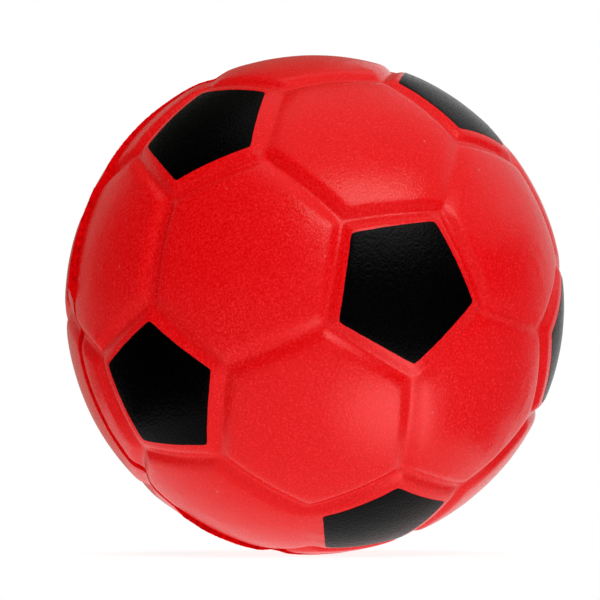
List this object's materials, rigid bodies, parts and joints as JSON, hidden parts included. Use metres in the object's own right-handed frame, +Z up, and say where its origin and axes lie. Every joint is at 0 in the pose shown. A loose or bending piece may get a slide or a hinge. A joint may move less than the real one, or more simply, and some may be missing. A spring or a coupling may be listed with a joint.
{
  "type": "foam toy football",
  "caption": "Small solid foam toy football with a moulded panel relief, printed black pentagons and a trimmed mould parting line, for squeezing, throwing and bouncing.",
  "frame": {"origin": "centre of the ball", "axes": "+Y along the mould axis, from the centre of the front printed pentagon to the rear one; the parting plane is the XZ plane; +Z up as pictured"},
  "size_m": [0.0638, 0.0632, 0.0638],
  "materials": {
    "foam": "open-celled flexible polyurethane foam, matte",
    "skin": "self-skinned flexible polyurethane foam, satin",
    "flash": "trimmed foam, matte",
    "ink": "pad-printed ink, matte"
  },
  "bodies": {
    "root": {"foam_core": "foam", "front_skin": "skin", "rear_skin": "skin", "parting_flash": "flash", "print_front_centre": "ink", "print_front_right": "ink", "print_front_top_right": "ink", "print_front_top_left": "ink", "print_front_left": "ink", "print_front_bottom": "ink", "print_rear_right": "ink", "print_rear_top": "ink", "print_rear_left": "ink", "print_rear_bottom_left": "ink", "print_rear_bottom_right": "ink", "print_rear_centre": "ink"}
  },
  "joints": []
}
